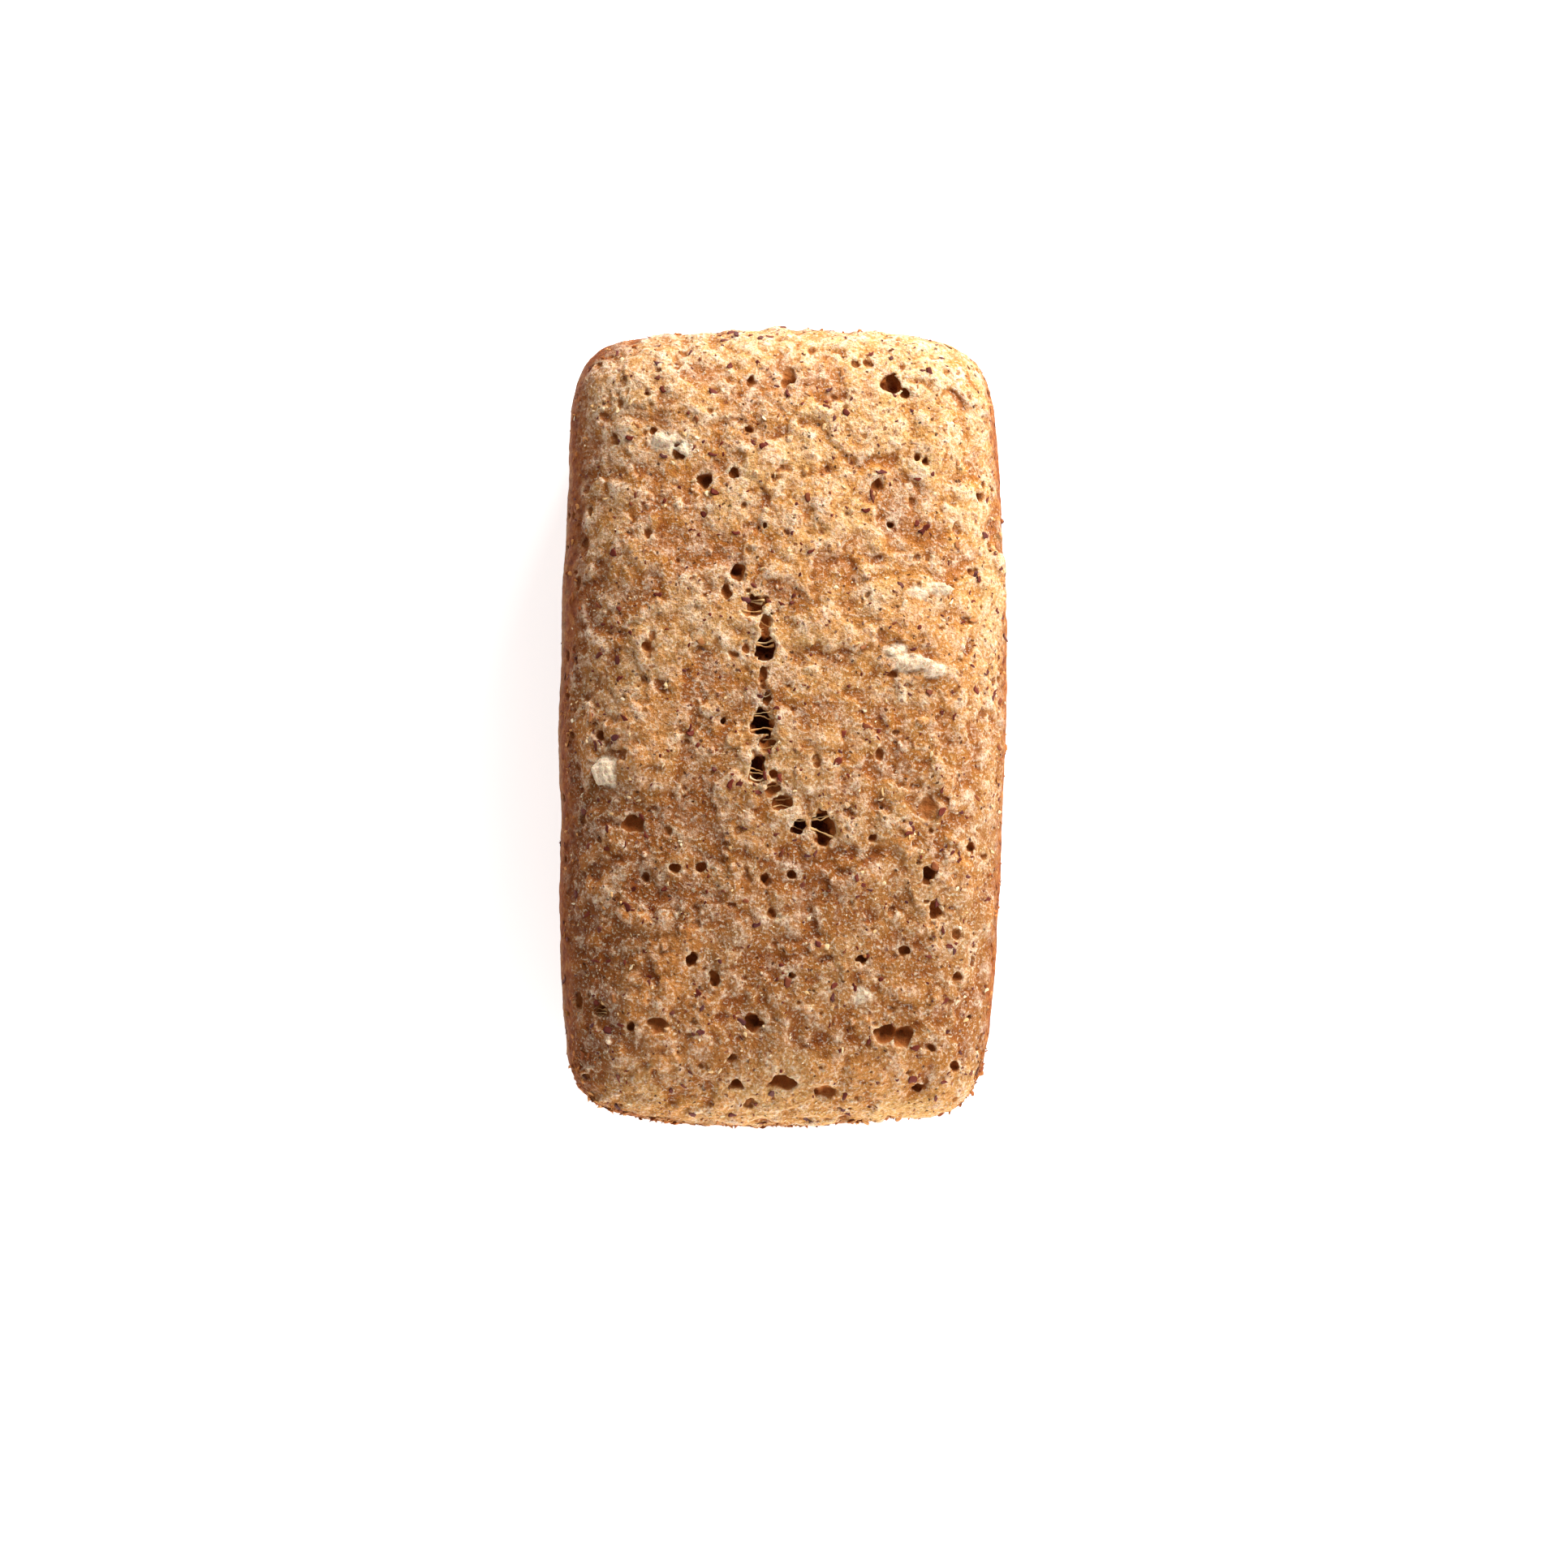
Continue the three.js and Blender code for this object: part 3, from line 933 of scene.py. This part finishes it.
    # The tin's rim, where the crust browned most: a red-brown band a few millimetres wide.
    from_below = add(tree, "MapRange", [above_tin, -8, -2, 0.0, 0.95])
    from_above = add(tree, "MapRange", [above_tin, 5.5, -1.0])
    band = add(tree, "Math", [from_below, from_above], operation="MULTIPLY")
    band_tone = add(tree, "ValToRGB", [burnt], [(0.35, "#6e2e0a"), (0.65, "#c07c3a"), (0.5, "#9a5018")])

    # Painted shade: the rim's band is painted darker on the west, the side away from the key light.
    west_band_shade = add(tree, "Math", [band, west_most], operation="MULTIPLY")
    west_band_shade = add(tree, "Math", [west_band_shade, 0.35], operation="MULTIPLY")

    # Gas holes: a pale rim of torn skin, kept to the convex edge as partly painted highlight, then crumb that
    # is painted darker inwards, as shade deeper in the hole.
    rim = add(tree, "MapRange", [hole, 0.1, 1.1, 0.6, 0.0])
    for value, low, high, least, most in (
        (fibre, 0.42, 0.58, 0.0, 1.0), (pinch, -0.05, 0.2, 0.0, 1.0), (tin, 0, 1, 1.0, 0.15),
    ):
        change = add(tree, "MapRange", [value, low, high, least, most])
        rim = add(tree, "Math", [rim, change], operation="MULTIPLY")
    hole_shade_inwards = add(tree, "MapRange", [depth, 0.4, 6.0])
    crumb = add(tree, "ValToRGB", [hole_shade_inwards], [(0.0, "#c98f58"), (1.0, "#6e3112"), (0.25, "#a8622c")])

    # Flour and oat, baked on.
    dusting = add(tree, "MapRange", [fibre, 0.38, 0.54, 0.35, 0.95])
    dusted = add(tree, "Math", [flour, dusting], operation="MULTIPLY")
    for share, colour in (
        (band, band_tone),
        # Painted shade: the darker west band.
        (west_band_shade, "#6a2404"),
        # Pale rim kept to convex edges: partly painted highlight.
        (rim, "#f6e0bc"),
        # Painted shade: crumb darkened deeper in the holes.
        (add(tree, "MapRange", [depth, 0.6, 1.4]), crumb),
        (dusted, "#f9e6cc"),
    ):
        skin = add(tree, "Mix", {0: share, 6: skin, 7: colour}, data_type="RGBA")

    # Relief finer than the mesh: burnt creases, crumbs and fuzz stand out, pinholes sink.
    dents = add(tree, "Math", [crumbs, 0.7], operation="MULTIPLY")
    for value, weight in ((burnt, 1.3), (fuzz, 0.3), (pin, -0.6)):
        dents = add(tree, "Math", [value, weight, dents], operation="MULTIPLY_ADD")
    firmness = add(tree, "MapRange", [tin, 0, 1, 1.0, 0.45])
    dents = add(tree, "Math", [dents, firmness], operation="MULTIPLY")
    bump = add(tree, "Bump", {"Strength": 1.0, "Distance": 1.0 * MM, "Height": dents})
    roughness = add(tree, "MapRange", [tin, 0, 1, 0.88, 0.74])
    unevenness = add(tree, "MapRange", [crumbs, 0.35, 0.65, -0.06, 0.06])
    roughness = add(tree, "Math", [roughness, unevenness], operation="ADD")
    shader = add(
        tree, "BsdfPrincipled",
        {
            "Base Color": skin, "Roughness": roughness, "Normal": bump,
            "IOR": 1.45, "Specular IOR Level": 0.2,
            "Subsurface Weight": 0.35, "Subsurface Radius": (1.0, 0.45, 0.2), "Subsurface Scale": 1.8 * MM,
        },
    )
    add(tree, "OutputMaterial", [shader])
    return material


def flake_material(name, tones, roughness, fibre_size):
    """A dry, baked flake: each its own tone, with fine fibres, which give the eye a rough, papery bit."""
    material, tree = new_material(name)
    place = add(tree, "TexCoord").outputs["Object"]
    tone = add(tree, "Attribute", attribute_name="tone").outputs["Fac"]
    colour = add(tree, "ValToRGB", [tone], tones)
    fibre = add(tree, "TexNoise", {"Vector": place, "Scale": 1 / (fibre_size * MM), "Detail": 3})
    colour = add(
        tree, "Mix", {0: fibre, 6: colour, 7: "#a87a55"}, data_type="RGBA", blend_type="SOFT_LIGHT"
    )
    bump = add(tree, "Bump", {"Strength": 0.6, "Distance": 0.1 * MM, "Height": fibre})
    uneven = add(tree, "MapRange", [fibre, 0, 1, roughness - 0.1, roughness + 0.1])
    shader = add(
        tree, "BsdfPrincipled",
        {"Base Color": colour, "Roughness": uneven, "Normal": bump, "IOR": 1.45, "Specular IOR Level": 0.3},
    )
    add(tree, "OutputMaterial", [shader])
    return material


# Wheat bran, toasted: red-brown to violet-brown, and a few that stayed straw-coloured.
BRAN_TONES = [(0.0, "#5c2015"), (1.0, "#c2925c"), (0.4, "#7a3320"), (0.65, "#5c3238"), (0.85, "#8f5230")]
# Inner husk and flaked oat, floury: cream.
HUSK_TONES = [(0.0, "#e2bf8e"), (1.0, "#fdf0da"), (0.5, "#f3dcb6")]
# Skin that flaked off where the loaf left the tin: golden to red-brown.
RIM_TONES = [(0.0, "#94501f"), (1.0, "#dfb077"), (0.5, "#bd7b3c")]
# Gluten stretched into threads and dried: cream.
STRAND_TONES = [(0.0, "#c99d66"), (1.0, "#f6e2c0"), (0.6, "#e8c998")]


def floor_material():
    """Matt white painted board, lit a little from below as a light table is, which gives a clean white."""
    material, tree = new_material("White light table")
    place = add(tree, "TexCoord").outputs["Object"]
    tooth = add(tree, "TexNoise", {"Vector": place, "Scale": 1 / (2.5 * MM), "Detail": 2})
    bump = add(tree, "Bump", {"Strength": 0.05, "Distance": 0.1 * MM, "Height": tooth})
    shader = add(
        tree, "BsdfPrincipled",
        {
            "Base Color": "#f4f2f3", "Roughness": 0.9, "Normal": bump,
            "Emission Color": "#fcfbfd", "Emission Strength": 0.7,
        },
    )
    add(tree, "OutputMaterial", [shader])
    return material


# ---- Stage: floor, light and camera --------------------------------------------------------------------

# Places and sizes are in metres here.
BOARD_HALF = 4  # from the board's middle to its edge
CAMERA_HEIGHT = 1.307
CAMERA_WEST = 0.03
AIM = Vector((0.001, -0.0155, 0.057))
LENS = 102
LIGHTS_AIM = Vector((0, 0, 0.05))
SKY_STRENGTH = 0.38


def make_floor():
    """A wide flat board."""
    bm = bmesh.new()
    bmesh.ops.create_grid(bm, x_segments=8, y_segments=8, size=BOARD_HALF)
    mesh = bpy.data.meshes.new("floor")
    bm.to_mesh(mesh)
    bm.free()
    floor = bpy.data.objects.new("floor", mesh)
    bpy.context.collection.objects.link(floor)
    mesh.materials.append(floor_material())


def make_light(name, place, size, power, colour):
    """A softbox that faces the loaf."""
    light = bpy.data.lights.new(name, "AREA")
    light.shape = "RECTANGLE"
    light.size, light.size_y = size
    light.energy = power
    light.color = linear(colour)[:3]
    lamp = bpy.data.objects.new(name, light)
    lamp.location = place
    bpy.context.collection.objects.link(lamp)
    lamp.rotation_euler = (LIGHTS_AIM - lamp.location).to_track_quat("-Z", "Y").to_euler()


def make_stage():
    """A light table under the loaf, a camera above it, and softboxes to the north-east and the south."""
    make_floor()
    make_light("key softbox", (0.4, 0.62, 0.46), (0.6, 0.6), 13.0, "#fff9f2")
    make_light("front softbox", (0.3, -0.75, 0.16), (0.8, 0.25), 5.5, "#fffaf4")
    world = bpy.data.worlds.new("studio")
    bpy.context.scene.world = world
    world.use_nodes = True
    world.node_tree.nodes["Background"].inputs[0].default_value = linear("#fff9f1")
    world.node_tree.nodes["Background"].inputs[1].default_value = SKY_STRENGTH
    camera = bpy.data.objects.new("camera", bpy.data.cameras.new("camera"))
    camera.data.lens = LENS
    camera.data.clip_start = 0.01
    camera.location = (AIM.x - CAMERA_WEST, AIM.y, CAMERA_HEIGHT)
    camera.rotation_euler = (0, -math.atan2(CAMERA_WEST, CAMERA_HEIGHT - AIM.z), 0)
    bpy.context.collection.objects.link(camera)
    bpy.context.scene.camera = camera
    bpy.context.scene.view_settings.view_transform = "Standard"


make_stage()
crust, spots, strands = make_crust_and_strands()
crust.data.materials.append(crust_material())

# Flakes lie on whole skin, not in a hole, on flour or on the base.
on_skin = (np.abs(spots["depth"]) < 0.5) * (spots["flour"] < 0.2) * (spots["points"][:, 2] > 3)
bran = make_flakes(
    "bran", spots, on_skin * (0.2 + spots["on_top"]),
    count=900, seed=41, shortest=0.5, longest=1.7, tilt=0.2, thickness=0.25,
)
bran.data.materials.append(flake_material("Toasted wheat bran", BRAN_TONES, 0.6, 0.5))

husks = make_flakes(
    "husks", spots, on_skin * spots["on_top"],
    count=500, seed=42, shortest=0.35, longest=1.1, tilt=0.5, thickness=0.3,
)
husks.data.materials.append(flake_material("Floury husk", HUSK_TONES, 0.85, 0.4))

# The rim's flakes keep close to the tin's line, and most of them are at the south end.
near_line = np.exp(-(((spots["above_tin"] - 1) / 2.5) ** 2))
rim_flakes = make_flakes(
    "rim-flakes", spots, on_skin * near_line * (1 + 5 * (spots["points"][:, 1] < -90)),
    count=420, seed=43, shortest=0.6, longest=1.7, tilt=0.45, thickness=0.3,
)
rim_flakes.data.materials.append(flake_material("Flaked golden crust", RIM_TONES, 0.75, 0.6))

strands.data.materials.append(flake_material("Dried gluten strand", STRAND_TONES, 0.7, 0.3))

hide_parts("loaf")
for piece in (crust, bran, husks, rim_flakes, strands):
    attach(piece, "root")
